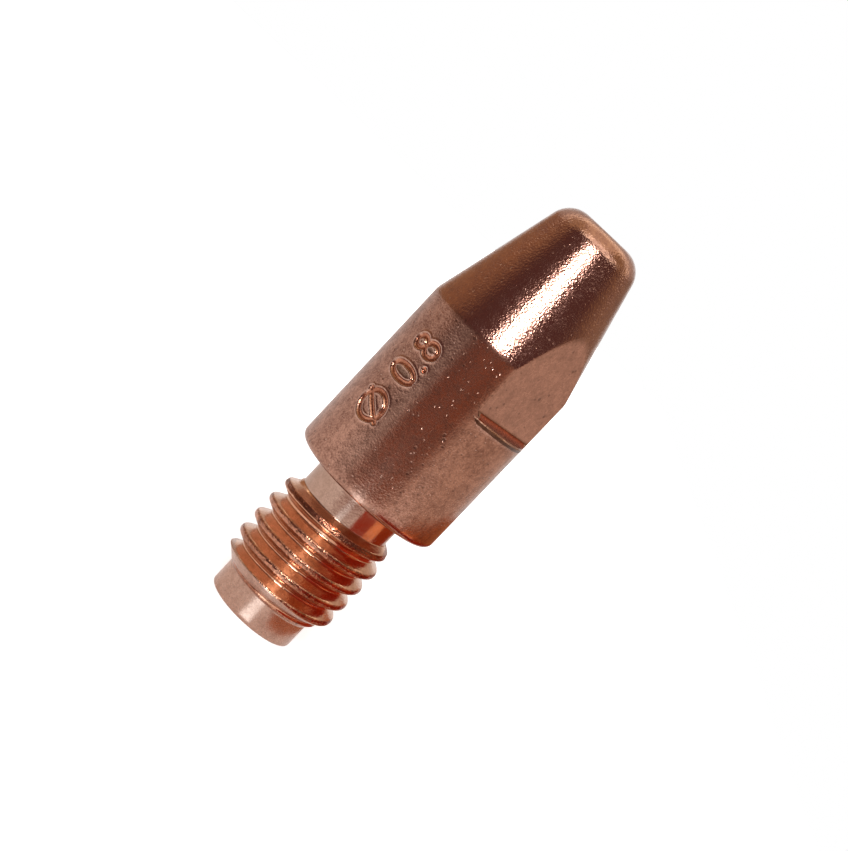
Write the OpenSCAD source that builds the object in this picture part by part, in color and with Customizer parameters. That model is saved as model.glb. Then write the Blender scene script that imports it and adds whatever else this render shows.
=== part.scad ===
// Welding contact tip: one turned copper piece that feeds a 0.8 mm wire.
// +Z runs along the axis to the nose, and the rear end face lies at Z = 0.
// The two spanner flats face +X and -X.

/* [Overall] */
// length from the rear end face to the nose face
total_length = 30; // [29:0.1:33]
// diameter of the plain body
body_diameter = 9.9; // [9.6:0.1:10.6]

/* [Shank] */
// length from the rear end face to the shoulder
shank_length = 9.85; // [9.4:0.05:10.4]
// diameter of the plain pilot at the rear end
pilot_diameter = 5.82; // [5.4:0.02:6]
// length of the plain pilot below the thread
pilot_length = 1.65; // [1.3:0.05:1.9]
// diameter of the undercut between thread and shoulder
neck_diameter = 5.96; // [5.6:0.02:6.1]
// length of the undercut between thread and shoulder
neck_length = 1.85; // [1.5:0.05:2.1]
// height of the slopes from the thread's root down to pilot and undercut
root_slope = 0.2; // [0.15:0.05:0.3]

/* [Thread] */
// diameter over the thread crests
thread_diameter = 7.66; // [7.5:0.02:7.96]
// rise of the thread in one turn
thread_pitch = 1.25; // [1.15:0.05:1.35]
// width of the flat crest
crest_width = 0.2; // [0.16:0.02:0.24]
// width of the flat at the bottom of the groove
root_width = 0.26; // [0.2:0.02:0.32]
// height over which the first crest grows out of the pilot
lead_in = 0.92; // [0.7:0.02:1.3]
// height below the undercut at which the last crest begins to fall away
lead_out = 1.15; // [0.8:0.05:1.5]
// height that the last crest runs up into the undercut before it is gone
run_out = 0.4; // [0.3:0.05:0.5]
// direction in which the ridge starts, turned about the axis
thread_start = 233; // [0:1:359]

/* [Nose] */
// length of the tapered nose
nose_length = 8.7; // [7.5:0.1:9.5]
// diameter that the taper would reach at the nose face
nose_diameter = 5.42; // [5:0.02:6]
// radius of the rounded nose edge
nose_radius = 1.6; // [0.8:0.1:1.8]

/* [Spanner flats] */
// distance across the two flats
across_flats = 8.1; // [7.8:0.05:8.6]
// height of the ledge at the lower end of the flats
ledge_height = 17.87; // [16.5:0.01:19]
// radius of the hollow corner between flat and ledge
ledge_radius = 0.45; // [0.2:0.05:0.5]
// height that the pressed lip under the ledge stands proud of the body
lip_proud = 0.06; // [0.04:0.01:0.1]
// radius of the lip's rounded section
lip_radius = 0.25; // [0.2:0.01:0.4]

/* [Wire bore] */
// diameter of the bore that the wire runs in
bore_diameter = 0.96; // [0.9:0.02:1.1]
// diameter of the funnel at the rear end face
funnel_diameter = 2.6; // [1.8:0.1:3.2]
// depth of the funnel
funnel_depth = 1.6; // [1:0.1:2.4]

/* [Edges] */
// radius of the outer edge of the shoulder
shoulder_radius = 0.48; // [0.2:0.02:0.6]
// radius of the edge of the rear end face
pilot_radius = 0.18; // [0.1:0.02:0.3]

/* [Hidden] */
$fn = 96;
body_r = body_diameter / 2;
pilot_r = pilot_diameter / 2;
neck_r = neck_diameter / 2;
crest_r = thread_diameter / 2;
nose_r = nose_diameter / 2;
bore_r = bore_diameter / 2;
funnel_r = funnel_diameter / 2;
flat_x = across_flats / 2;
nose_z = total_length - nose_length;
neck_z = shank_length - neck_length;
taper = atan((body_r - nose_r) / nose_length);

// the ridge's flanks lean 30 degrees, and its foot lies a little under the root
flank = tan(30);
root_r = crest_r - (thread_pitch - crest_width - root_width) / 2 / flank;
foot_half = thread_pitch / 2 - root_width / 4;
foot_r = crest_r - (foot_half - crest_width / 2) / flank;
// below its foot a straight stub reaches under pilot and undercut
stub_r = min(pilot_r, neck_r) - root_width;
// it is made taller than the thread, with a crest half as wide
peak_half = crest_width / 4;
peak_r = crest_r + (crest_width / 2 - peak_half) / flank;
turn_steps = 32;
ridge_low = pilot_length - foot_half;
ridge_high = neck_z + run_out - crest_width / 2;
ridge_steps = ceil((ridge_high - ridge_low) / thread_pitch * turn_steps);
fade_steps = turn_steps / 4;

// the lip is a ring set off the axis, which dives into the body near both ends of the ledge
lip_end = 0.94 * acos(flat_x / body_r);
lip_shift = lip_proud * (body_r + lip_proud / 2) / (body_r * (1 - cos(lip_end)) + lip_proud);
lip_ring_r = body_r + lip_proud - lip_shift - lip_radius;

// what a rounded edge takes off a corner at p, between sides that run along a and b
module edge_waste(p, a, b, r) {
  half = acos(a * b) / 2;
  mid = (a + b) / norm(a + b);
  centre = p + mid * r / sin(half);
  difference() {
    polygon([p - mid * r / 10, p + a * r / tan(half), centre, p + b * r / tan(half)]);
    translate(centre) circle(r);
  }
}

// half of the turned section, without the thread ridge
module turned_section() {
  difference() {
    polygon([
      [0, 0],
      [pilot_r, 0],
      [pilot_r, pilot_length],
      [root_r, pilot_length + root_slope],
      [root_r, neck_z - root_slope],
      [neck_r, neck_z],
      [neck_r, shank_length],
      [body_r, shank_length],
      [body_r, nose_z],
      [nose_r, total_length],
      [0, total_length]
    ]);
    edge_waste([pilot_r, 0], [-1, 0], [0, 1], pilot_radius);
    edge_waste([body_r, shank_length], [-1, 0], [0, 1], shoulder_radius);
    edge_waste([nose_r, total_length], [-1, 0], [sin(taper), -cos(taper)], nose_radius);
  }
}

// how far the ridge has sunk at step i, as it fades out over its last quarter turn
function ridge_sink(i) = (peak_r - neck_r) * max(0, 1 - (ridge_steps - i) / fade_steps);

// corners of one cut through the ridge, at step i of its helix
function ridge_cut(i) =
  let (
    turn = thread_start + 360 * i / turn_steps,
    mid = ridge_low + thread_pitch * i / turn_steps,
    sink = ridge_sink(i),
    corners = [
      [stub_r, -foot_half],
      [foot_r, -foot_half],
      [peak_r, -peak_half],
      [peak_r, peak_half],
      [foot_r, foot_half],
      [stub_r, foot_half]
    ]
  )
  [for (c = corners) [(c[0] - sink) * cos(turn), (c[0] - sink) * sin(turn), mid + c[1]]];

// the triangles between cut i and the next one
function ridge_band(i) = [
  for (k = [0 : 5])
    let (a = 6 * i + k, b = 6 * i + (k + 1) % 6)
    each [[a, b, b + 6], [a, b + 6, a + 6]]
];

// right-hand helical ridge, taller and longer than the thread
module thread_ridge() {
  points = [for (i = [0 : ridge_steps]) each ridge_cut(i)];
  bands = [for (i = [0 : ridge_steps - 1]) each ridge_band(i)];
  first_end = [for (k = [5 : -1 : 0]) k];
  last_end = [for (k = [0 : 5]) 6 * ridge_steps + k];
  polyhedron(points, concat([first_end], bands, [last_end]));
}

// the turned blank that the crests reach, with its lead-in and lead-out
module thread_blank() {
  rotate_extrude()
    polygon([
      [0, pilot_length],
      [pilot_r - root_slope / 8, pilot_length],
      [crest_r, pilot_length + lead_in],
      [crest_r, neck_z - lead_out],
      [(crest_r + root_r) / 2, neck_z],
      [neck_r - root_slope / 8, neck_z + run_out],
      [0, neck_z + run_out]
    ]);
}

// section of the metal taken away over one flat, with its hollow lower corner
module flat_section() {
  translate([flat_x, ledge_height + ledge_radius]) square([body_r, total_length]);
  translate([flat_x + ledge_radius, ledge_height]) square([body_r, total_length]);
  translate([flat_x + ledge_radius, ledge_height + ledge_radius]) circle(ledge_radius);
}

module flat_waste() {
  rotate([90, 0, 0]) linear_extrude(height = 2 * body_diameter, center = true) flat_section();
}

// metal pushed up into a thin crescent just under the ledge
module ledge_lip() {
  translate([lip_shift, 0, ledge_height - lip_radius])
    rotate_extrude() translate([lip_ring_r, 0]) circle(lip_radius);
}

// section of the wire's way: a straight bore with a funnel at the rear end face
module wire_section() {
  polygon([
    [0, -funnel_depth],
    [2 * funnel_r - bore_r, -funnel_depth],
    [bore_r, funnel_depth],
    [bore_r, 2 * total_length],
    [0, 2 * total_length]
  ]);
}

module contact_tip() {
  color([0.72, 0.45, 0.32])
    difference() {
      union() {
        rotate_extrude() turned_section();
        intersection() {
          thread_ridge();
          thread_blank();
        }
        ledge_lip();
        mirror([1, 0, 0]) ledge_lip();
      }
      flat_waste();
      mirror([1, 0, 0]) flat_waste();
      rotate_extrude() wire_section();
    }
}

contact_tip();
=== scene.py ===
import math
from collections import namedtuple

import bmesh
import bpy
from mathutils import Matrix, Vector, noise


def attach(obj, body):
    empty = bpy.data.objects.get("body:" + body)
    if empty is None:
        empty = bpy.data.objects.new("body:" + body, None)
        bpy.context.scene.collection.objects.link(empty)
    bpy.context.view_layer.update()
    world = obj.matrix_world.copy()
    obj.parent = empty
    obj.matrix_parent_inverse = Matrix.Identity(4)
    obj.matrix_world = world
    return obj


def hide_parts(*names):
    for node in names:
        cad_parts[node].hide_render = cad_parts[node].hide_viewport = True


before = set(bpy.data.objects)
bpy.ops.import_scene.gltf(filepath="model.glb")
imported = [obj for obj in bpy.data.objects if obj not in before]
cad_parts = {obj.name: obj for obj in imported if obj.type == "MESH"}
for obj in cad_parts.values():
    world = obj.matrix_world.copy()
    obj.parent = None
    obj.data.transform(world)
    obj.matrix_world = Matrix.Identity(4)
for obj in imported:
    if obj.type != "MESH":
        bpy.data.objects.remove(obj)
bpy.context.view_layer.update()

MM = 0.001

# sizes of the tip in millimetres, as in the part's source
TOTAL = 30.0
SHANK = 9.85
PILOT_R, PILOT_TOP = 2.91, 1.65
NECK_R, NECK_FOOT = 2.98, 8.0
PITCH, CREST_R = 1.25, 3.83
NOSE_FOOT, NOSE_R, NOSE_ROUND = 21.3, 2.71, 1.6
FLAT_X, LEDGE, HOLLOW_R = 4.05, 17.87, 0.45
BORE_R, FUNNEL_R, FUNNEL_DEPTH = 0.48, 1.3, 1.6
SHOULDER_ROUND, PILOT_ROUND = 0.48, 0.18
# the body is a little slimmer than in the source, so that raised metal stays inside the part's box
BODY_R = 4.93
# the thread's rounded groove is a little deeper than the source's flat one
ROOT_R = 3.11

# small roundings of worn edges
NECK_CORNER, BORE_EDGE, TAPER_EDGE, FLAT_EDGE, LEDGE_EDGE = 0.12, 0.05, 0.05, 0.07, 0.03
# heights where the screwed thread is cut off, and the gap between it and the spun skin, bridged later
THREAD_LOW, THREAD_HIGH, RIM_GAP = 1.6, 8.5, 0.05
# columns of faces round the tip
COLUMNS = 144
# points closer together than this are one, and points closer to a cut than this lie on it
WELD, ON_CUT = 1e-5, 1e-6

# the photograph's side of the tip
AZIMUTH = math.radians(37.5)
LOOK = Vector((math.sin(AZIMUTH), -math.cos(AZIMUTH), 0))
SIDE = Vector((math.cos(AZIMUTH), math.sin(AZIMUTH), 0))
UP = Vector((0, 0, 1))


# Turned outline

# height from which the rows of faces lie close together, for the stamps
CLOSE_ROWS_FROM = 12.6
# rows on the lip, as distances below the ledge
LIP_ROWS = (0.27, 0.24, 0.2, 0.16, 0.12, 0.07, 0.035, 0)
# how far above the ledge the even rows of the flat start from
FLAT_ROWS_FROM = 0.68
# half the height of the close rows at the taper's edge
TAPER_ROWS = 0.2
# how far the ledge falls towards its brink
LEDGE_DROP = 0.03
# no flat is left above this height
FLATS_END = 25.5


def steps(start, end, count):
    """Numbers from start to end in equal steps, without the start."""
    return [start + (end - start) * i / count for i in range(1, count + 1)]


def run(start, end, count):
    """Points along a straight cut, without its start."""
    return list(zip(steps(start[0], end[0], count), steps(start[1], end[1], count)))


def rounding(centre, radius, first, last, count):
    """Points along a rounded edge, angles in degrees, without its start."""
    turns = [math.radians(angle) for angle in steps(first, last, count)]
    return [(centre[0] + radius * math.cos(a), centre[1] + radius * math.sin(a)) for a in turns]


def soft_min(a, b, soft):
    """The smaller of two values, with a rounded change between them."""
    h = max(soft - abs(a - b), 0) / soft
    return min(a, b) - h * h * soft / 4


def nose_lean():
    """Angle between the taper and the axis."""
    return math.atan2(BODY_R - NOSE_R, TOTAL - NOSE_FOOT)


def turned_radius(z):
    """Radius of body and taper at a height, with the soft edge between them."""
    taper = BODY_R - (z - NOSE_FOOT) * math.tan(nose_lean())
    return soft_min(BODY_R, taper, TAPER_EDGE)


def body_rows():
    """Heights of the rows on body and taper, close at the stamps, the ledge and the taper's edge."""
    hollow_foot = LEDGE + LEDGE_DROP
    taper_low, taper_high = NOSE_FOOT - TAPER_ROWS, NOSE_FOOT + TAPER_ROWS
    rows = steps(SHANK + SHOULDER_ROUND, CLOSE_ROWS_FROM, 5)
    rows += steps(CLOSE_ROWS_FROM, LEDGE - LIP_ROWS[0], 25)
    rows += [LEDGE - drop for drop in LIP_ROWS[1:]]
    rows += steps(LEDGE, hollow_foot, 2)
    rows += [hollow_foot + HOLLOW_R * share ** 2 for share in steps(0, 1, 7)]
    rows += steps(LEDGE + FLAT_ROWS_FROM, taper_low, 13)
    rows += steps(taper_low, taper_high, 7)
    rows += steps(taper_high, FLATS_END, 20)
    return rows


def turned_outline():
    """Outline of the tip from the undercut up over the nose and back down the bore to the pilot."""
    lean = math.degrees(nose_lean())
    reach = NOSE_ROUND * math.tan(math.radians(45 - lean / 2))
    nose_centre = (NOSE_R - reach, TOTAL - NOSE_ROUND)
    taper_end = nose_centre[1] + NOSE_ROUND * math.sin(nose_lean())
    line = [(NECK_R, THREAD_HIGH + RIM_GAP)]
    line += run(line[-1], (NECK_R, SHANK - NECK_CORNER), 5)
    line += rounding((NECK_R + NECK_CORNER, SHANK - NECK_CORNER), NECK_CORNER, 180, 90, 4)
    line += run(line[-1], (BODY_R - SHOULDER_ROUND, SHANK), 4)
    line += rounding((BODY_R - SHOULDER_ROUND, SHANK + SHOULDER_ROUND), SHOULDER_ROUND, -90, 0, 8)
    line += [(turned_radius(z), z) for z in body_rows()]
    line += run(line[-1], (turned_radius(taper_end), taper_end), 8)
    line += rounding(nose_centre, NOSE_ROUND, lean, 90, 20)
    line += run(line[-1], (BORE_R + BORE_EDGE, TOTAL), 5)
    line += rounding((BORE_R + BORE_EDGE, TOTAL - BORE_EDGE), BORE_EDGE, 90, 180, 3)
    line += run(line[-1], (BORE_R, FUNNEL_DEPTH), 16)
    line += run(line[-1], (FUNNEL_R, 0), 4)
    line += run(line[-1], (PILOT_R - PILOT_ROUND, 0), 4)
    line += rounding((PILOT_R - PILOT_ROUND, PILOT_ROUND), PILOT_ROUND, -90, 0, 6)
    line += run(line[-1], (PILOT_R, THREAD_LOW - RIM_GAP), 4)
    return line


def spin_turned_skin(bm):
    """Spins the outline once round the axis."""
    verts = [bm.verts.new((r, 0, z)) for r, z in turned_outline()]
    edges = [bm.edges.new(pair) for pair in zip(verts, verts[1:])]
    bmesh.ops.spin(
        bm, geom=verts + edges, cent=(0, 0, 0), axis=(0, 0, 1),
        angle=math.tau, steps=COLUMNS, use_merge=True,
    )
    bmesh.ops.remove_doubles(bm, verts=bm.verts[:], dist=WELD)


# Rolled thread

# lean of the flanks in degrees, and rounding of the crest
FLANK, CREST_ROUND = 30, 0.25
# height of the lowest crest's middle in the direction of +X, and turns of the ridge before it is cut off
FIRST_CREST, TURNS = 0.20, 7
# the last crest sinks away from this height on, over this height and by this depth
FADE_FROM, FADE_OVER, FADE_BY = 7.99, 0.31, 0.9
# share of the blank's fall by which the crests above a height are rolled lower
LOWERED, LOWERED_FROM = 0.75, 4
# above this radius the crest is torn, by this share of its height, in a coarse and a fine pattern
TORN_FROM, TORN_SHARE, COARSE_TEAR, FINE_TEAR = 3.66, 0.12, 5.0, 13.0
# slope between root and plain shank, rise to the full thread, fall to the undercut, and the run-out past it
ROOT_SLOPE, LEAD_IN, LEAD_OUT, RUN_OUT = 0.2, 0.92, 1.15, 0.4
# the blank's radius at the foot of the undercut, its depth under the plain shank at both ends, its soft edge
BLANK_NECK_R, BLANK_UNDER, BLANK_EDGE = 3.49, 0.025, 0.04
# the plain shank under the thread, and the turned blank that the crests reach: height and radius
CORE = [
    (PILOT_TOP, PILOT_R), (PILOT_TOP + ROOT_SLOPE, ROOT_R),
    (NECK_FOOT - ROOT_SLOPE, ROOT_R), (NECK_FOOT, NECK_R),
]
BLANK = [
    (PILOT_TOP, PILOT_R - BLANK_UNDER), (PILOT_TOP + LEAD_IN, CREST_R), (NECK_FOOT - LEAD_OUT, CREST_R),
    (NECK_FOOT, BLANK_NECK_R), (NECK_FOOT + RUN_OUT, NECK_R - BLANK_UNDER),
]


def along(line, z):
    """Radius at a height on a line of straight cuts."""
    if z <= line[0][0]:
        return line[0][1]
    for (z0, r0), (z1, r1) in zip(line, line[1:]):
        if z <= z1:
            return r0 + (r1 - r0) * (z - z0) / (z1 - z0)
    return line[-1][1]


def ridge_section():
    """One ridge from groove to groove: distance from the crest's middle, and radius."""
    peak = CREST_R + CREST_ROUND
    groove_round = ROOT_R - peak + PITCH / 2 / math.tan(math.radians(FLANK))
    groove_centre = (PITCH / 2, ROOT_R + groove_round)
    groove = rounding(groove_centre, groove_round, 180 + FLANK, 270, 4)
    groove_start = rounding(groove_centre, groove_round, 0, 180 + FLANK, 1)
    half = [(0, CREST_R)]
    half += rounding((0, CREST_R - CREST_ROUND), CREST_ROUND, 90, FLANK, 7)
    half += run(half[-1], groove_start[0], 6)
    half += groove
    return [(-d, r) for d, r in reversed(half[1:])] + half


def trimmed_radius(turn, z, ridge):
    """Radius of the ridge kept inside the turned blank, faded out at its upper end."""
    first = FIRST_CREST + PITCH * turn / math.tau
    crest = first + PITCH * round((z - first) / PITCH)
    fade = min(max((crest - FADE_FROM) / FADE_OVER, 0), 1)
    low = LOWERED * (CREST_R - along(BLANK, max(crest, LOWERED_FROM)))
    return soft_min(ridge - low - FADE_BY * fade, along(BLANK, z), BLANK_EDGE)


def screw_thread(bm):
    """Screws the ridge's section up the shank, cuts it off at both ends and trims it to the blank."""
    verts = [bm.verts.new((r, 0, FIRST_CREST + d)) for d, r in ridge_section()]
    edges = [bm.edges.new(pair) for pair in zip(verts, verts[1:])]
    bmesh.ops.spin(
        bm, geom=verts + edges, cent=(0, 0, 0), axis=(0, 0, 1), dvec=(0, 0, PITCH / COLUMNS),
        angle=math.tau * TURNS, steps=COLUMNS * TURNS,
    )
    bmesh.ops.remove_doubles(bm, verts=bm.verts[:], dist=WELD)
    for height, normal in ((THREAD_LOW, -UP), (THREAD_HIGH, UP)):
        bmesh.ops.bisect_plane(
            bm, geom=bm.verts[:] + bm.edges[:] + bm.faces[:], dist=ON_CUT,
            plane_co=UP * height, plane_no=normal, clear_outer=True,
        )
    for v in bm.verts:
        old = math.hypot(v.co.x, v.co.y)
        tear = 0.5 + 0.5 * noise.noise(v.co * COARSE_TEAR) + 0.5 * noise.noise(v.co * FINE_TEAR)
        new = trimmed_radius(math.atan2(v.co.y, v.co.x), v.co.z, old)
        new -= TORN_SHARE * tear * max(old - TORN_FROM, 0)
        new = max(new, along(CORE, v.co.z))
        v.co.xy *= new / old


# Spanner flats and lip

# the pressed lip: how far it stands proud, its height, its sharp edge, and its end in degrees
LIP_PROUD, LIP_TALL, LIP_EDGE, LIP_END = 0.075, 0.33, 0.07, 34.5
# the lip's fall over its sharp edge, the bend of its lower slope, and how squarely it ends
LIP_FALL, LIP_BEND, LIP_SQUARE = 0.55, 0.8, 4
# finer skin at the flats: reach across, reach below and above the ledge, and half the band along the edge
FINE_ACROSS, FINE_BELOW, FINE_ABOVE, FINE_BAND = 3.2, 0.35, 0.6, 0.14


def flat_depth(z):
    """Distance of the flat's surface from the axis at a height, with ledge and hollow corner."""
    brink, foot = BODY_R + LIP_PROUD, FLAT_X + HOLLOW_R
    rise = z - LEDGE - LEDGE_DROP
    if rise < -LEDGE_DROP:
        return math.inf
    if rise < 0:
        return foot - (brink - foot) * rise / LEDGE_DROP
    if rise < HOLLOW_R:
        return foot - math.sqrt(HOLLOW_R ** 2 - (HOLLOW_R - rise) ** 2)
    return FLAT_X


def flat_angle(across):
    """Angle in degrees from a flat's middle, from the share of the radius that points at the flat."""
    return math.degrees(math.acos(min(across, 1)))


def lip_height(off, z):
    """How far the pressed lip stands proud of the body, off in degrees from the flat's middle."""
    proud = LIP_PROUD * (1 - (off / LIP_END) ** LIP_SQUARE)
    down = LEDGE - z
    if proud <= 0 or not 0 <= down < LIP_TALL:
        return 0.0
    if down < LIP_EDGE:
        return proud - LIP_FALL * (LIP_EDGE - down)
    return proud * ((LIP_TALL - down) / (LIP_TALL - LIP_EDGE)) ** LIP_BEND


def near_flat_edge(co):
    """True close to the line where a flat leaves the body or taper, and on its ledge."""
    across = abs(co.x)
    if across < FINE_ACROSS or not LEDGE - FINE_BELOW < co.z < FLATS_END:
        return False
    if co.z < LEDGE + FINE_ABOVE:
        return abs(co.y) < FINE_ACROSS
    return abs(across - FLAT_X) < FINE_BAND


# Stamped size mark

# direction of the mark from the axis, half the width of its patch, and the patch's lower and upper end
STAMP_TURN = math.radians(-89.9)
STAMP_HALF = 1.42
STAMP_LOW, STAMP_HIGH = 12.75, 19.95
# the strokes: depth, half width, and how squarely their walls drop
STROKE_DEPTH, STROKE_HALF, STROKE_SQUARE = 0.12, 0.165, 4
# the raised rim: height, distance from the stroke's middle, and width
RIM_PROUD, RIM_AT, RIM_WIDE = 0.018, 0.225, 0.065
# oval strokes: height of the middle, place across, half height and half width
OVALS = {
    "small_loop": (18.77, 0.50, 0.36, 0.37),
    "large_loop": (18.77, -0.44, 0.42, 0.48),
    "nought": (16.84, 0.0, 0.44, 0.90),
    "diameter_ring": (14.35, 0.0, 0.88, 0.88),
}
# straight strokes: height and place across at both ends
POINT = ((17.75, -0.97), (17.77, -0.97))
SLASH = ((13.74, -0.92), (14.96, 0.92))
# stands in for nought at the middle of an oval
TINY = 1e-6


def stamp_place(co):
    """A point's height, and its place across the stamped side."""
    return co.z, (STAMP_TURN - math.atan2(co.y, co.x)) * BODY_R


def in_stamp_patch(co):
    """True in the patch that holds the mark."""
    place = stamp_place(co)
    return STAMP_LOW < place[0] < STAMP_HIGH and abs(place[1]) < STAMP_HALF


def oval_reach(place, oval):
    """How far out a point lies from an oval's middle: 1 on the oval's line."""
    high, across = (place[0] - oval[0]) / oval[2], (place[1] - oval[1]) / oval[3]
    return math.hypot(high, across)


def oval_distance(place, oval):
    """Distance from a point to an oval's line, true close to the line."""
    reach = oval_reach(place, oval)
    slope = math.hypot((place[0] - oval[0]) / oval[2] ** 2, (place[1] - oval[1]) / oval[3] ** 2)
    return abs(reach ** 2 - 1) / max(slope * (1 + reach), TINY) * max(reach, TINY)


def straight_distance(place, ends):
    """Distance from a point to a straight stroke's line."""
    start, end = Vector(ends[0]), Vector(ends[1])
    way = end - start
    share = (Vector(place) - start).dot(way) / way.length_squared
    return (Vector(place) - start - way * min(max(share, 0), 1)).length


def stamp_depth(co):
    """How deep the stamped strokes lie, less the metal that they push up at their rims."""
    if not in_stamp_patch(co):
        return 0.0
    place = stamp_place(co)
    reaches = [oval_distance(place, oval) for oval in OVALS.values()]
    reaches += [straight_distance(place, ends) for ends in (POINT, SLASH)]
    d = min(reaches)
    groove = STROKE_DEPTH * max(1 - (d / STROKE_HALF) ** STROKE_SQUARE, 0)
    return groove - RIM_PROUD * math.exp(-((d - RIM_AT) / RIM_WIDE) ** 2)


# The tip as one closed skin

# cuts that divide each edge in the stamps' patch and at the flats' edges
STAMP_CUTS, EDGE_CUTS = 4, 3
# the skin outside this radius and between these heights is pressed
SKIN_R = 3
PRESSED_LOW, PRESSED_HIGH = SHANK + SHOULDER_ROUND + 0.05, 28
# least share of the radius that points at a flat where the flat is pressed, and the end of the ledge's edge
FLAT_SHARE, LEDGE_EDGE_TOP = 0.5, LEDGE + 0.5


def refine(bm, wanted, cuts):
    """Divides the faces whose middle is wanted into a finer grid."""
    faces = [f for f in bm.faces if wanted(f.calc_center_median())]
    edges = list({e for f in faces for e in f.edges})
    bmesh.ops.subdivide_edges(bm, edges=edges, cuts=cuts, use_grid_fill=True)


def press_flats_and_stamps(bm):
    """Moves the skin of body and taper in or out to the flats, the lips and the stamped mark."""
    for v in bm.verts:
        r = math.hypot(v.co.x, v.co.y)
        if r < SKIN_R or not PRESSED_LOW < v.co.z < PRESSED_HIGH:
            continue
        across = abs(v.co.x) / r
        new = turned_radius(v.co.z) + lip_height(flat_angle(across), v.co.z)
        if across > FLAT_SHARE:
            edge = LEDGE_EDGE if v.co.z < LEDGE_EDGE_TOP else FLAT_EDGE
            new = soft_min(new, flat_depth(v.co.z) / across, edge)
        new -= stamp_depth(v.co)
        v.co.xy *= new / r


def mesh_from(bm, name):
    """Mesh of a bmesh, which is then freed."""
    mesh = bpy.data.meshes.new(name)
    bm.to_mesh(mesh)
    bm.free()
    return mesh


def close_rims(bm):
    """Bridges the open rims of thread and turned skin, below and above the thread."""
    rims = [e for e in bm.edges if e.is_boundary]
    middle = (THREAD_LOW + THREAD_HIGH) / 2
    bmesh.ops.bridge_loops(bm, edges=[e for e in rims if e.verts[0].co.z < middle])
    bmesh.ops.bridge_loops(bm, edges=[e for e in rims if e.verts[0].co.z > middle])
    bmesh.ops.recalc_face_normals(bm, faces=bm.faces[:])


def make_tip():
    """The whole tip: turned skin, pressed flats and stamps, and the thread between the rims."""
    thread = bmesh.new()
    screw_thread(thread)
    thread_mesh = mesh_from(thread, "thread")
    bm = bmesh.new()
    spin_turned_skin(bm)
    refine(bm, in_stamp_patch, STAMP_CUTS)
    refine(bm, near_flat_edge, EDGE_CUTS)
    press_flats_and_stamps(bm)
    bm.from_mesh(thread_mesh)
    bpy.data.meshes.remove(thread_mesh)
    close_rims(bm)
    names = list(FINISHES)
    for f in bm.faces:
        f.smooth = True
        f.material_index = names.index(finish_for(f))
    bmesh.ops.scale(bm, vec=(MM, MM, MM), verts=bm.verts[:])
    tip = bpy.data.objects.new("tip", mesh_from(bm, "tip"))
    bpy.context.scene.collection.objects.link(tip)
    for name, finish in FINISHES.items():
        tip.data.materials.append(copper(name, finish))
    return tip


# Node helpers

def link_value(tree, value, socket):
    """Gives a socket a number, a colour or another node's output."""
    if isinstance(value, (int, float)):
        socket.default_value = value
    elif isinstance(value, tuple):
        socket.default_value = (*value, 1)
    else:
        tree.links.new(value, socket)


def link_math(tree, kind, first, second):
    """One step of arithmetic in a node tree."""
    node = tree.nodes.new("ShaderNodeMath")
    node.operation = kind
    link_value(tree, first, node.inputs[0])
    link_value(tree, second, node.inputs[1])
    return node.outputs[0]


def weighted_sum(tree, *terms):
    """Sum of values, each times its weight."""
    total = 0.0
    for value, weight in terms:
        total = link_math(tree, "ADD", total, link_math(tree, "MULTIPLY", value, weight))
    return total


def spread(tree, value, source, target=(0, 1), shape="LINEAR"):
    """Maps a value from one span to another and stops at its ends."""
    node = tree.nodes.new("ShaderNodeMapRange")
    node.interpolation_type = shape
    for name, number in zip(("From Min", "From Max", "To Min", "To Max"), (*source, *target)):
        node.inputs[name].default_value = number
    tree.links.new(value, node.inputs["Value"])
    return node.outputs["Result"]


def blend_colours(tree, share, first, second):
    """Colour between two others."""
    node = tree.nodes.new("ShaderNodeMix")
    node.data_type = "RGBA"
    link_value(tree, share, node.inputs["Factor"])
    link_value(tree, first, node.inputs[6])
    link_value(tree, second, node.inputs[7])
    return node.outputs[2]


# Copper finishes, among them painted shade, painted reflection and painted highlights

# scales of the patterns, in cells per metre
PATCH_SCALE, MOTTLE_SCALE, GRAIN_SCALE = 700, 2800, 9000
PIT_SCALE, NICK_SCALE, DIMPLE_SCALE = 1700, 3600, 8000
# fineness of the cloudy patterns
PATCH_DETAIL, MOTTLE_DETAIL, GRAIN_DETAIL = 4, 2, 2
# shares of patches, mottle and grain in the wear, and the span from dull to fresh metal
WEAR_SHARES, WEAR_SPAN = (0.25, 0.3, 0.45), (0.38, 0.60)
# distances over which a pit or nick ends, and how uneven pits, nicks and dimples are
PIT_SPAN, NICK_SPAN = (0.31, 0.40), (0.46, 0.56)
PIT_UNEVEN, NICK_UNEVEN, DIMPLE_UNEVEN = 0.5, 0.9, 0.5
# depth of pits and nicks in millimetres, the share of dull colour in a pit, and the colour in a nick: bare
# metal made paler, a painted glint
PIT_DEPTH, PIT_SHADE = 0.012, 0.45
NICK_GLINT_COLOUR = (0.66, 0.45, 0.36)

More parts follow.
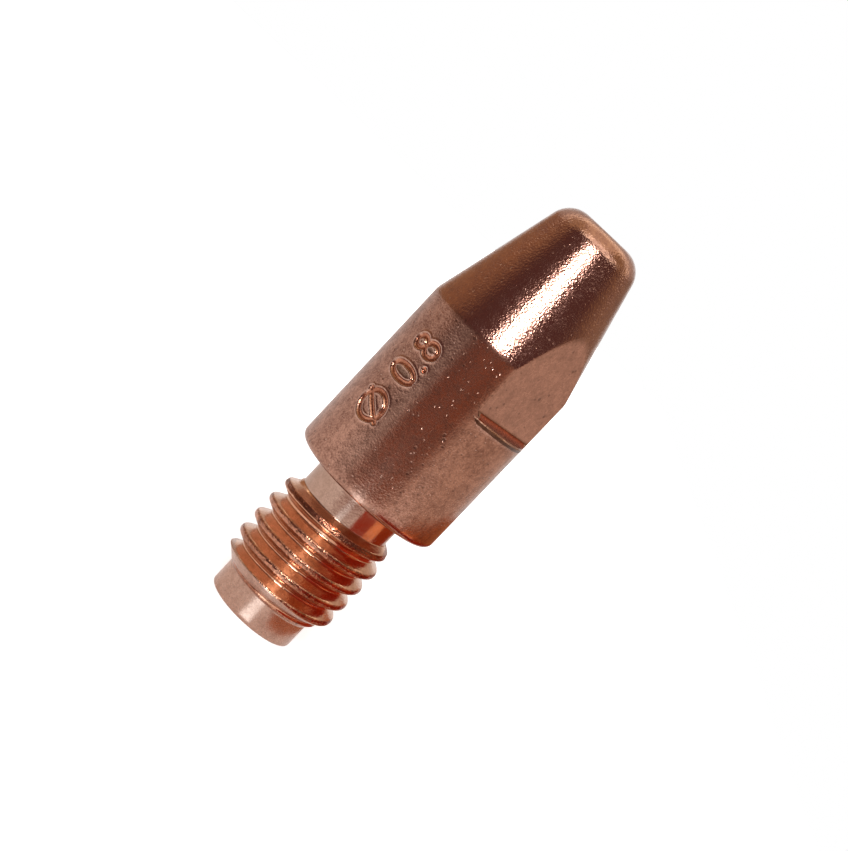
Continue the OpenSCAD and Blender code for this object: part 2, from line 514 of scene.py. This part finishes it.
# a finish: colour of fresh and of dull metal, roughness of both, heights of grain and dimples
# in millimetres, and how clearly pits and nicks show
Finish = namedtuple("Finish", "fresh dull roughness grain dimples pits nicks")
FINISHES = {
    "tumbled_body": Finish(
        fresh=(0.50, 0.28, 0.205), dull=(0.26, 0.13, 0.092), roughness=(0.18, 0.27),
        grain=0.0045, dimples=0.003, pits=0.6, nicks=0.6,
    ),
    "tumbled_nose": Finish(
        fresh=(0.50, 0.27, 0.195), dull=(0.34, 0.17, 0.135), roughness=(0.12, 0.28),
        grain=0.005, dimples=0.010, pits=0.2, nicks=0.5,
    ),
    "turned_neck": Finish(
        fresh=(0.51, 0.34, 0.265), dull=(0.42, 0.27, 0.205), roughness=(0.15, 0.21),
        grain=0.0012, dimples=0.001, pits=0.1, nicks=0.1,
    ),
    "turned_pilot": Finish(
        fresh=(0.55, 0.35, 0.27), dull=(0.43, 0.26, 0.195), roughness=(0.24, 0.32),
        grain=0.003, dimples=0.002, pits=0.1, nicks=0.1,
    ),
    "rolled_thread": Finish(
        fresh=(0.72, 0.40, 0.26), dull=(0.54, 0.28, 0.17), roughness=(0.13, 0.23),
        grain=0.004, dimples=0.004, pits=0.1, nicks=0.1,
    ),
    "torn_crest": Finish(
        fresh=(0.60, 0.28, 0.175), dull=(0.22, 0.085, 0.05), roughness=(0.14, 0.26),
        grain=0.012, dimples=0.016, pits=0.8, nicks=0.6,
    ),
    "worn_run_out": Finish(
        fresh=(0.42, 0.17, 0.10), dull=(0.15, 0.05, 0.03), roughness=(0.22, 0.34),
        grain=0.010, dimples=0.014, pits=0.8, nicks=0.2,
    ),
    "pressed_flat": Finish(
        fresh=(0.50, 0.28, 0.21), dull=(0.36, 0.20, 0.148), roughness=(0.26, 0.36),
        grain=0.005, dimples=0.003, pits=0.6, nicks=0.1,
    ),
    # painted shade and painted red reflection in the hollow corner under the flat
    "hollow_painted_shade": Finish(
        fresh=(0.28, 0.055, 0.021), dull=(0.20, 0.038, 0.015), roughness=(0.20, 0.30),
        grain=0.005, dimples=0.003, pits=0.2, nicks=0.0,
    ),
    # painted shade: the lip's lower slope under the ledge is coloured dark
    "shaded_lip": Finish(
        fresh=(0.13, 0.060, 0.036), dull=(0.07, 0.030, 0.018), roughness=(0.26, 0.36),
        grain=0.005, dimples=0.003, pits=0.2, nicks=0.0,
    ),
    # painted shade and painted red reflection in the stamped grooves
    "stroke_painted_shade": Finish(
        fresh=(0.52, 0.23, 0.14), dull=(0.32, 0.115, 0.065), roughness=(0.18, 0.28),
        grain=0.006, dimples=0.004, pits=0.2, nicks=0.2,
    ),
    # painted highlight: the raised rims round the strokes are coloured paler
    "rim_painted_highlight": Finish(
        fresh=(0.58, 0.37, 0.29), dull=(0.36, 0.20, 0.15), roughness=(0.16, 0.24),
        grain=0.005, dimples=0.004, pits=0.6, nicks=0.3,
    ),
    # painted shade on the rougher islands inside the loops and the nought
    "counter_painted_shade": Finish(
        fresh=(0.30, 0.18, 0.13), dull=(0.18, 0.10, 0.07), roughness=(0.24, 0.34),
        grain=0.005, dimples=0.004, pits=0.3, nicks=0.2,
    ),
}


def cloudy(tree, place, scale, detail):
    """Soft cloudy pattern."""
    node = tree.nodes.new("ShaderNodeTexNoise")
    node.inputs["Scale"].default_value = scale
    node.inputs["Detail"].default_value = detail
    tree.links.new(place, node.inputs["Vector"])
    return node.outputs["Fac"]


def cells(tree, place, scale, wobble, uneven):
    """Distance from scattered points, made uneven by a second pattern."""
    node = tree.nodes.new("ShaderNodeTexVoronoi")
    node.inputs["Scale"].default_value = scale
    tree.links.new(place, node.inputs["Vector"])
    return weighted_sum(tree, (node.outputs["Distance"], 1), (wobble, uneven))


def copper(name, finish):
    """Copper with patches of fresh and dull metal, fine grain, dimples, dark pits, and nicks with a painted
    glint.
    """
    mat = bpy.data.materials.new(name)
    mat.use_nodes = True
    tree = mat.node_tree
    shader = tree.nodes["Principled BSDF"]
    shader.inputs["Metallic"].default_value = 1.0
    place = tree.nodes.new("ShaderNodeTexCoord").outputs["Object"]
    patch = cloudy(tree, place, PATCH_SCALE, PATCH_DETAIL)
    mottle = cloudy(tree, place, MOTTLE_SCALE, MOTTLE_DETAIL)
    grain = cloudy(tree, place, GRAIN_SCALE, GRAIN_DETAIL)
    wear = spread(tree, weighted_sum(tree, *zip((patch, mottle, grain), WEAR_SHARES)), WEAR_SPAN)
    pit = spread(tree, cells(tree, place, PIT_SCALE, patch, PIT_UNEVEN), PIT_SPAN, (finish.pits, 0))
    nick = spread(tree, cells(tree, place, NICK_SCALE, mottle, NICK_UNEVEN), NICK_SPAN, (finish.nicks, 0))
    colour = blend_colours(tree, wear, finish.dull, finish.fresh)
    colour = blend_colours(tree, pit, colour, tuple(PIT_SHADE * c for c in finish.dull))
    colour = blend_colours(tree, nick, colour, NICK_GLINT_COLOUR)
    tree.links.new(colour, shader.inputs["Base Color"])
    smooth, rough = finish.roughness
    tree.links.new(spread(tree, wear, (0, 1), (rough, smooth)), shader.inputs["Roughness"])
    dimple = cells(tree, place, DIMPLE_SCALE, grain, DIMPLE_UNEVEN)
    height = weighted_sum(
        tree, (grain, finish.grain), (mottle, finish.grain), (dimple, finish.dimples),
        (pit, -PIT_DEPTH), (nick, -PIT_DEPTH),
    )
    bump = tree.nodes.new("ShaderNodeBump")
    bump.inputs["Distance"].default_value = MM
    tree.links.new(height, bump.inputs["Height"])
    tree.links.new(bump.outputs["Normal"], shader.inputs["Normal"])
    return mat


# Places of the finishes, painted shade and painted highlights among them

# the thread is clean like the pilot below the first height, and worn above the second
RUN_IN_TOP, RUN_OUT_FOOT = 2.6, 6.9
# how far the clean ridge stands off the core, and how far the pilot's finish reaches past the pilot
RUN_IN_PROUD, PILOT_PAST = 0.1, 0.1
# slack at the faces of undercut and shoulder
SLACK = 0.01
# how far torn metal reaches down from the crest, and from the blank
TORN_BELOW_CREST, TORN_BELOW_BLANK = 0.09, 0.03
# strokes deeper than this get the painted shade of the groove, and rims higher than this share of the full
# height get the painted highlight
STROKE_SHADE_DEPTH, BRIGHT_RIM = 0.05, 0.4
# ovals that hold a rougher island of painted shade, and the share of the oval that it fills
COUNTERS, COUNTER_SHARE = ("small_loop", "large_loop", "nought"), 0.7
# the lip is shaded where it stands at least this proud
SHADED_PROUD = 0.012
# the hollow corner's painted shade and red reflection: share of the corner's height, least distance from the
# flat, half its width
HOLLOW_SHARE, HOLLOW_OFF, HOLLOW_HALF = 0.75, 0.005, 2.5
# faces of the flat: how squarely they face sideways, and how far they may lie off it
FLAT_FACING, FLAT_OFF = 0.97, 0.02
# faces inside this radius belong to the bore, and faces that point down more than this to the shoulder
BORE_SKIN_R, FACING_DOWN = 0.6, -0.9


def shank_finish(z, r):
    """Finish of a place on pilot, thread, undercut or bore."""
    on_run_in = z < RUN_IN_TOP and r > along(CORE, z) + RUN_IN_PROUD
    if on_run_in or z < PILOT_TOP + PILOT_PAST:
        return "turned_pilot"
    if r < NECK_R + SLACK or z > THREAD_HIGH - RIM_GAP:
        return "turned_neck"
    if r < min(CREST_R - TORN_BELOW_CREST, along(BLANK, z) - TORN_BELOW_BLANK):
        return "rolled_thread"
    return "torn_crest" if z < RUN_OUT_FOOT else "worn_run_out"


def stamp_finish(co):
    """Finish of a place in the stamped mark: painted shade in strokes and counters and a painted highlight
    on the rims; or None where the body is plain.
    """
    if not in_stamp_patch(co):
        return None
    depth = stamp_depth(co)
    if depth > STROKE_SHADE_DEPTH:
        return "stroke_painted_shade"
    if depth < -BRIGHT_RIM * RIM_PROUD:
        return "rim_painted_highlight"
    reach = min(oval_reach(stamp_place(co), OVALS[name]) for name in COUNTERS)
    return "counter_painted_shade" if reach < COUNTER_SHARE else None


def flat_finish(co, normal):
    """Finish of a place on a spanner flat, its ledge or its lip, with painted shade on the lip and in the
    hollow corner, or None outside them.
    """
    across = abs(co.x)
    lip = lip_height(flat_angle(across / math.hypot(co.x, co.y)), co.z)
    if lip > SHADED_PROUD and LEDGE - LIP_ROWS[0] < co.z < LEDGE - LIP_EDGE:
        return "shaded_lip"
    if not LEDGE < co.z < FLATS_END or across > FLAT_X + HOLLOW_R:
        return None
    if co.z < LEDGE + HOLLOW_SHARE * HOLLOW_R and across > FLAT_X + HOLLOW_OFF:
        return "hollow_painted_shade" if abs(co.y) < HOLLOW_HALF else None
    return "pressed_flat" if abs(normal.x) > FLAT_FACING and across < FLAT_X + FLAT_OFF else None


def finish_for(face):
    """Name of the finish on a face of the tip."""
    middle = face.calc_center_median()
    r = math.hypot(middle.x, middle.y)
    if middle.z < SHANK - SLACK or r < BORE_SKIN_R:
        return shank_finish(middle.z, r)
    if face.normal.z < FACING_DOWN:
        return "turned_neck"
    plain = "tumbled_nose" if middle.z > NOSE_FOOT else "tumbled_body"
    if r < SKIN_R:
        return plain
    return flat_finish(middle, face.normal) or stamp_finish(middle) or plain


# Camera and lamp

# the camera, solved from the photograph: tilt in radians, roll, distance and small shifts in millimetres
CAMERA_TILT, CAMERA_ROLL = 0.132918, math.radians(46.6098)
CAMERA_FAR, CAMERA_LEFT, CAMERA_RAISED = 109.964, 0.1072, 0.0239
# width of the sensor and focal length in millimetres, and the nearest distance that shows, in metres
SENSOR, LENS, NEAREST = 36, 81.6749, 0.005
# the lamp's angles from the camera's side and above the floor
LAMP_TURN, LAMP_RISE = math.radians(-1), math.radians(27)
# the lamp's distance, width and height of aim in metres, and its power
LAMP_FAR, LAMP_SIZE, LAMP_AIM, LAMP_POWER = 0.2, 0.05, 0.018, 0.24


def make_camera():
    """Camera at the photograph's place."""
    c, s = math.cos(CAMERA_TILT), math.sin(CAMERA_TILT)
    cr, sr = math.cos(CAMERA_ROLL), math.sin(CAMERA_ROLL)
    right = UP * (c * cr) - LOOK * (s * cr) + SIDE * sr
    down = -UP * (c * sr) + LOOK * (s * sr) + SIDE * cr
    ahead = -UP * s - LOOK * c
    spot = UP * (TOTAL / 2) - right * CAMERA_LEFT - down * CAMERA_RAISED - ahead * CAMERA_FAR
    camera = bpy.data.objects.new("camera", bpy.data.cameras.new("camera"))
    camera.data.sensor_fit = "HORIZONTAL"
    camera.data.sensor_width = SENSOR
    camera.data.lens = LENS
    camera.data.clip_start = NEAREST
    matrix = Matrix((right, -down, -ahead)).transposed().to_4x4()
    matrix.translation = spot * MM
    camera.matrix_world = matrix
    bpy.context.scene.collection.objects.link(camera)
    bpy.context.scene.camera = camera


def make_lamp():
    """Soft square lamp in front of the tip and above it, aimed at the tip."""
    ahead = LOOK * math.cos(LAMP_TURN) + SIDE * math.sin(LAMP_TURN)
    way = ahead * math.cos(LAMP_RISE) + UP * math.sin(LAMP_RISE)
    lamp = bpy.data.objects.new("stripe_lamp", bpy.data.lights.new("stripe_lamp", "AREA"))
    lamp.data.shape = "SQUARE"
    lamp.data.size = LAMP_SIZE
    lamp.data.energy = LAMP_POWER
    lamp.location = way * LAMP_FAR + UP * LAMP_AIM
    lamp.rotation_euler = (-way).to_track_quat("-Z", "Y").to_euler()
    lamp.visible_camera = False
    bpy.context.scene.collection.objects.link(lamp)


# Sheets and cards

# heights of the cards on the floor and under the ceiling
FLOOR_CARD, CEILING_CARD = 0.05, 120
# cards on the floor: glow, and corners to the right and to the front of the tip
FLOOR_CARDS = {
    "front_card": ((2.15, 2.5, 2.75), [(-0.6, 3.4), (0.5, 3.4), (1.4, 9), (4.5, 44), (-5.3, 44), (-1.7, 9)]),
    # painted shadow: a dim warm sheet where the tip's shadow lies on the floor beside the pilot, seen only
    # by the metal
    "pilot_shadow_card": ((0.56, 0.22, 0.11), [(3.2, 4.6), (6, 9), (10, 5), (10, -9), (4.8, -9), (5.4, 0)]),
}
# painted shade and painted reflection: these dark red, warm and orange glows stand in for the tip's shadow
# on the floor and for copper seen in copper
# radii of the cards that stand round the shank and beyond the lower corner of the body
CLOSE_CARD, CORNER_CARD = 12.5, 15
# cards beside the thread: first angles, angle that each one spans, upper edge, glow
THREAD_CARD_TURNS, THREAD_CARD_SPAN, THREAD_CARD_TOP = (30, 65, 100), 35, 6.1
THREAD_GLOW = (0.37, 0.03, 0.009)
# cards beside the undercut: lower and upper edge; first angle, last angle and glow of each
NECK_CARD_LOW, NECK_CARD_HIGH = 6.2, 8.1
NECK_CARDS = {
    "red_neck_card": (28, 62, (0.50, 0.045, 0.01)),
    "warm_neck_card": (62, 87, (1.25, 0.46, 0.20)),
    "dark_neck_card": (87, 135, (0.40, 0.05, 0.012)),
}
# cards beyond the body's lower corner: lower edge and glow; first and last angle, upper edge at both of each
CORNER_CARD_LOW = 6.5
CORNER_GLOW = (0.46, 0.14, 0.05)
CORNER_CARDS = {
    "corner_card": (66, 110, 8.8, 10.4),
    "rear_corner_card": (110, 146, 10.4, 10.5),
}
# the strip over the front: glow, and corners to the right and to the front of the tip
FRONT_STRIP_GLOW = (2.2, 2.2, 2.0)
FRONT_STRIP = [(-70, 36), (-40, 42), (90, 42), (125, 30), (125, 55), (60, 85), (-30, 85), (-70, 60)]
# oblong panels overhead: left, right, back and front edge, and glow
PANELS = {
    "left_panel": (-220, -45, -50, 42, (0.60, 0.44, 0.28)),
    "middle_panel": (-45, 45, -50, 42, (1.0, 0.84, 0.64)),
    "right_panel": (45, 220, -50, 30, (0.46, 0.32, 0.19)),
    "rear_strip": (-220, 220, -84, -50, (1.7, 1.6, 1.3)),
    "rear_panel": (-260, 260, -270, -84, (0.62, 0.52, 0.45)),
}


def level(height, corners):
    """Corners of a level sheet, each given to the right and to the front of the tip."""
    return [SIDE * x + LOOK * y + UP * height for x, y in corners]


def upright(radius, start, end, low, start_high, end_high):
    """Corners of an upright card round the tip, between two angles from the camera's side."""
    feet = []
    for turn in (math.radians(start), math.radians(end)):
        feet.append((LOOK * math.cos(turn) + SIDE * math.sin(turn)) * radius)
    return [feet[0] + UP * low, feet[1] + UP * low, feet[1] + UP * end_high, feet[0] + UP * start_high]


def make_sheet(name, corners):
    """Thin flat sheet between corners in millimetres."""
    bm = bmesh.new()
    bm.faces.new([bm.verts.new(corner) for corner in corners])
    bmesh.ops.scale(bm, vec=(MM, MM, MM), verts=bm.verts[:])
    sheet = bpy.data.objects.new(name, mesh_from(bm, name))
    bpy.context.scene.collection.objects.link(sheet)
    return sheet


def make_card(name, glow, corners):
    """Glowing card that only the metal sees."""
    card = make_sheet(name, corners)
    mat = bpy.data.materials.new(name)
    mat.use_nodes = True
    shader = mat.node_tree.nodes["Principled BSDF"]
    shader.inputs["Base Color"].default_value = (0, 0, 0, 1)
    shader.inputs["Specular IOR Level"].default_value = 0.0
    shader.inputs["Emission Color"].default_value = (*glow, 1)
    shader.inputs["Emission Strength"].default_value = 1.0
    card.data.materials.append(mat)
    card.visible_camera = False
    card.visible_diffuse = False
    card.visible_shadow = False


def make_floor_cards():
    """A white strip that widens to the front, and a dim warm card at the right of the pilot, a painted
    shadow of the tip on the floor.
    """
    for name, (glow, corners) in FLOOR_CARDS.items():
        make_card(name, glow, level(FLOOR_CARD, corners))


def make_upright_cards():
    """Small warm cards at the right of thread and undercut, and beyond the body's lower corner: painted
    shade and painted copper reflection that only the metal sees.
    """
    for start in THREAD_CARD_TURNS:
        corners = upright(CLOSE_CARD, start, start + THREAD_CARD_SPAN, 0, THREAD_CARD_TOP, THREAD_CARD_TOP)
        make_card(f"thread_card_{start}", THREAD_GLOW, corners)
    for name, (start, end, glow) in NECK_CARDS.items():
        make_card(name, glow, upright(CLOSE_CARD, start, end, NECK_CARD_LOW, NECK_CARD_HIGH, NECK_CARD_HIGH))
    for name, (start, end, start_high, end_high) in CORNER_CARDS.items():
        corners = upright(CORNER_CARD, start, end, CORNER_CARD_LOW, start_high, end_high)
        make_card(name, CORNER_GLOW, corners)


def make_overhead_cards():
    """A bright curved strip over the front, and soft panels over the middle and the rear."""
    make_card("front_strip", FRONT_STRIP_GLOW, level(CEILING_CARD, FRONT_STRIP))
    for name, (left, right, back, front, glow) in PANELS.items():
        corners = [(left, back), (right, back), (right, front), (left, front)]
        make_card(name, glow, level(CEILING_CARD, corners))


# Walls and floor

WHITE = (1, 1, 1)
# the walls round the tip, from and to an angle from the camera's side, with soft changes between them
LOW_WALLS = [
    (-180, -158, WHITE), (-146, -38, (0.78, 0.77, 0.76)), (-27, 26, (0.30, 0.11, 0.06)),
    (44, 146, (0.75, 0.59, 0.50)), (158, 180, WHITE),
]
HIGH_WALLS = [
    (-180, -165, WHITE), (-150, -100, (0.43, 0.26, 0.155)), (-62, 66, (0.14, 0.07, 0.07)),
    (104, 150, (0.37, 0.26, 0.185)), (165, 180, WHITE),
]
# the low walls end in a slanting line, lower on the left
WALL_SLANT, WALL_END = 0.125, (-0.085, 0.035)
# the floor's edges from the tip, in millimetres
FLOOR_FRONT, FLOOR_BACK, FLOOR_LEFT, FLOOR_RIGHT = 48, -600, -400, 58
# colour of the floor's paper
PAPER = (0.9, 0.9, 0.9)
# glow of the floor to camera and metal
FLOOR_GLOW = 0.38
# further glow to the camera near the tip and far from it, and the distances in metres where it changes
NEAR_WHITE, FAR_WHITE, WHITE_SPAN = 0.35, 1.3, (0.015, 0.07)


def dot(tree, way, axis):
    """How far a direction points along an axis."""
    node = tree.nodes.new("ShaderNodeVectorMath")
    node.operation = "DOT_PRODUCT"
    node.inputs[1].default_value = axis
    tree.links.new(way, node.inputs[0])
    return node.outputs["Value"]


def wall_ring(tree, turn, walls):
    """Colour of the walls in each direction round the tip."""
    node = tree.nodes.new("ShaderNodeValToRGB")
    stops = [(angle, colour) for start, end, colour in walls for angle in (start, end)]
    while len(node.color_ramp.elements) < len(stops):
        node.color_ramp.elements.new(0.5)
    for element, (angle, colour) in zip(node.color_ramp.elements, stops):
        element.position = (angle + 180) / 360
        element.color = (*colour, 1)
    tree.links.new(turn, node.inputs[0])
    return node.outputs["Color"]


def make_world():
    """White to the camera; to the metal, a white wall behind, pale walls beside, a dark room in front."""
    world = bpy.data.worlds.new("studio")
    world.use_nodes = True
    bpy.context.scene.world = world
    tree = world.node_tree
    way = tree.nodes.new("ShaderNodeTexCoord").outputs["Generated"]
    turn = link_math(tree, "ARCTAN2", dot(tree, way, SIDE), dot(tree, way, LOOK))
    turn = weighted_sum(tree, (turn, 1 / math.tau), (0.5, 1))
    height = spread(tree, dot(tree, way, UP - SIDE * WALL_SLANT), WALL_END, shape="SMOOTHSTEP")
    low, high = wall_ring(tree, turn, LOW_WALLS), wall_ring(tree, turn, HIGH_WALLS)
    walls = blend_colours(tree, height, low, high)
    ray = tree.nodes.new("ShaderNodeLightPath")
    seen = blend_colours(tree, ray.outputs["Is Camera Ray"], walls, WHITE)
    tree.links.new(seen, tree.nodes["Background"].inputs["Color"])


def white_paper():
    """White paper that glows to camera and metal, and to the camera more and more with the distance."""
    mat = bpy.data.materials.new("white_paper")
    mat.use_nodes = True
    tree = mat.node_tree
    shader = tree.nodes["Principled BSDF"]
    shader.inputs["Base Color"].default_value = (*PAPER, 1)
    shader.inputs["Roughness"].default_value = 1.0
    shader.inputs["Specular IOR Level"].default_value = 0.0
    shader.inputs["Emission Color"].default_value = (*WHITE, 1)
    ray = tree.nodes.new("ShaderNodeLightPath")
    seen = link_math(tree, "MAXIMUM", ray.outputs["Is Camera Ray"], ray.outputs["Is Glossy Ray"])
    seen = link_math(tree, "MAXIMUM", seen, ray.outputs["Is Transmission Ray"])
    far = tree.nodes.new("ShaderNodeVectorMath")
    far.operation = "LENGTH"
    tree.links.new(tree.nodes.new("ShaderNodeTexCoord").outputs["Object"], far.inputs[0])
    white = spread(tree, far.outputs["Value"], WHITE_SPAN, (NEAR_WHITE, FAR_WHITE))
    white = link_math(tree, "MULTIPLY", white, ray.outputs["Is Camera Ray"])
    glow = weighted_sum(tree, (seen, FLOOR_GLOW), (white, 1))
    tree.links.new(glow, shader.inputs["Emission Strength"])
    return mat


def make_floor():
    """Floor that keeps the tip's soft shadow and runs out into the white background."""
    front = [(FLOOR_LEFT, FLOOR_FRONT), (FLOOR_RIGHT, FLOOR_FRONT)]
    back = [(FLOOR_RIGHT, FLOOR_BACK), (FLOOR_LEFT, FLOOR_BACK)]
    floor = make_sheet("floor", level(0, front + back))
    floor.data.materials.append(white_paper())


bpy.context.scene.view_settings.view_transform = "Standard"
tip = make_tip()
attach(tip, "root")
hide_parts("contact_tip")
make_camera()
make_world()
make_floor()
make_lamp()
make_floor_cards()
make_upright_cards()
make_overhead_cards()
